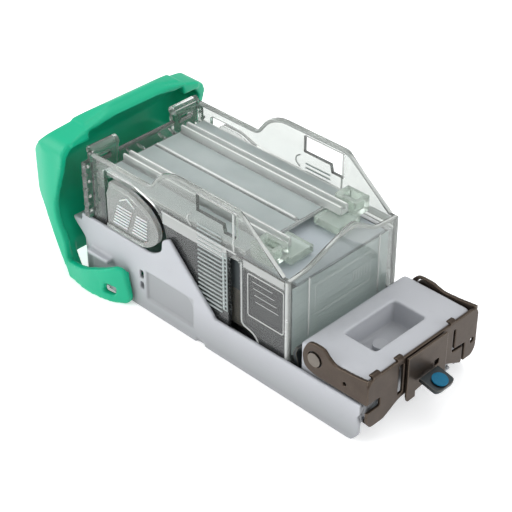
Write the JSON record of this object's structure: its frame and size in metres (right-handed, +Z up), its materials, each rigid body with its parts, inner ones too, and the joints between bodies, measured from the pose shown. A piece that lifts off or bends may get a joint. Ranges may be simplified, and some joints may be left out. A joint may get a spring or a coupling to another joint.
{
  "type": "staple cartridge",
  "caption": "Plug-in staple cartridge of an electric stapler: channel frame, hollow handle, clear refill case with staple sheets, head with hinged face plate.",
  "frame": {"origin": "centre of the bounding box's bottom face, on the surface that the cartridge lies on", "axes": "+Z up, +X from the handle to the head that drives the staple, +Y to the left side"},
  "size_m": [0.15, 0.0634, 0.0557],
  "materials": {
    "milky_plastic": "satin, slightly translucent",
    "green_plastic": "satin gloss, moulded",
    "clear_plastic": "clear, polished",
    "tinted_clear_plastic": "clear, pale green",
    "white_plastic": "satin",
    "staple_steel": "fine wires bonded side by side",
    "plate_steel": "stamped, satin",
    "dark_steel": "blackened",
    "bronze_plate": "stamped steel with a bronze coating",
    "blue_paint": "printed dot"
  },
  "bodies": {
    "frame": {"frame_channel": "milky_plastic", "handle_shell": "green_plastic", "head_block": "milky_plastic", "pocket_boss": "white_plastic", "feed_track": "plate_steel", "feeding_sheet": "staple_steel", "bending_anvil": "plate_steel", "feed_leaf_spring": "plate_steel", "pivot_pin_left": "plate_steel", "pivot_pin_right": "plate_steel", "head_screw_left": "dark_steel", "head_screw_right": "dark_steel", "case_clip_left": "dark_steel", "case_clip_right": "dark_steel", "end_guide_left": "plate_steel", "end_guide_right": "plate_steel", "forming_spring_left": "plate_steel", "forming_spring_right": "plate_steel"},
    "refill": {"refill_case": "clear_plastic", "refill_lid": "clear_plastic", "staple_stack": "staple_steel", "pressure_spring_front": "plate_steel", "pressure_spring_rear": "plate_steel", "guide_block_left": "tinted_clear_plastic", "guide_block_right": "tinted_clear_plastic"},
    "pressure": {"pressure_plate": "milky_plastic"},
    "pad_left": {"squeeze_pad_left": "clear_plastic"},
    "pad_right": {"squeeze_pad_right": "clear_plastic"},
    "feeder": {"feed_slider": "dark_steel", "pawl_pin_left": "plate_steel", "pawl_pin_right": "plate_steel"},
    "pawl_left": {"feed_pawl_left": "plate_steel"},
    "pawl_right": {"feed_pawl_right": "plate_steel"},
    "former": {"forming_plate": "plate_steel"},
    "driver": {"driver_plate": "plate_steel"},
    "face": {"face_plate": "bronze_plate"},
    "gate": {"gate_plate": "bronze_plate", "lift_tab": "dark_steel", "blue_dot": "blue_paint"}
  },
  "joints": [
    {"name": "face_plate_hinge", "type": "hinge", "parent": "frame", "child": "face", "pos_m": [0.0465, 0, 0.0205], "axis": [0, -1, 0], "range_deg": [0, 70]},
    {"name": "gate_latch_hinge", "type": "hinge", "parent": "face", "child": "gate", "pos_m": [0.0672, 0, 0.0229], "axis": [0, -1, 0], "range_deg": [0, 12], "stiffness_Nm_per_rad": 0.03},
    {"name": "refill_lift_out", "type": "slide", "parent": "frame", "child": "refill", "axis": [0, 0, 1], "range_m": [0, 0.05]},
    {"name": "pressure_plate_slide", "type": "slide", "parent": "refill", "child": "pressure", "axis": [0, 0, -1], "range_m": [0, 0.022], "deforming": ["staple_stack", "pressure_spring_front", "pressure_spring_rear"]},
    {"name": "left_pad_squeeze", "type": "hinge", "parent": "refill", "child": "pad_left", "pos_m": [-0.0418, 0.0234, 0.032], "axis": [0, 0, -1], "range_deg": [0, 4], "stiffness_Nm_per_rad": 0.3},
    {"name": "right_pad_squeeze", "type": "hinge", "parent": "refill", "child": "pad_right", "pos_m": [-0.0418, -0.0234, 0.032], "axis": [0, 0, 1], "range_deg": [0, 4], "stiffness_Nm_per_rad": 0.3},
    {"name": "feed_stroke", "type": "slide", "parent": "frame", "child": "feeder", "axis": [1, 0, 0], "range_m": [0, 0.0045], "stiffness_N_per_m": 300},
    {"name": "forming_stroke", "type": "slide", "parent": "frame", "child": "former", "axis": [0, 0, -1], "range_m": [0, 0.004], "stiffness_N_per_m": 200, "deforming": ["forming_spring_left", "forming_spring_right"]},
    {"name": "driver_stroke", "type": "slide", "parent": "frame", "child": "driver", "axis": [0, 0, -1], "range_m": [0, 0.007]},
    {"name": "left_pawl_hinge", "type": "hinge", "parent": "feeder", "child": "pawl_left", "pos_m": [-0.001, 0.0073, 0.0062], "axis": [0, 1, 0], "range_deg": [0, 6], "stiffness_Nm_per_rad": 0.002},
    {"name": "right_pawl_hinge", "type": "hinge", "parent": "feeder", "child": "pawl_right", "pos_m": [-0.001, -0.0073, 0.0062], "axis": [0, 1, 0], "range_deg": [0, 6], "stiffness_Nm_per_rad": 0.002}
  ],
  "couplings": [
    {"joint": "forming_stroke", "follows": "feed_stroke", "ratio": 0.8888},
    {"joint": "driver_stroke", "follows": "feed_stroke", "ratio": 1.5555}
  ]
}
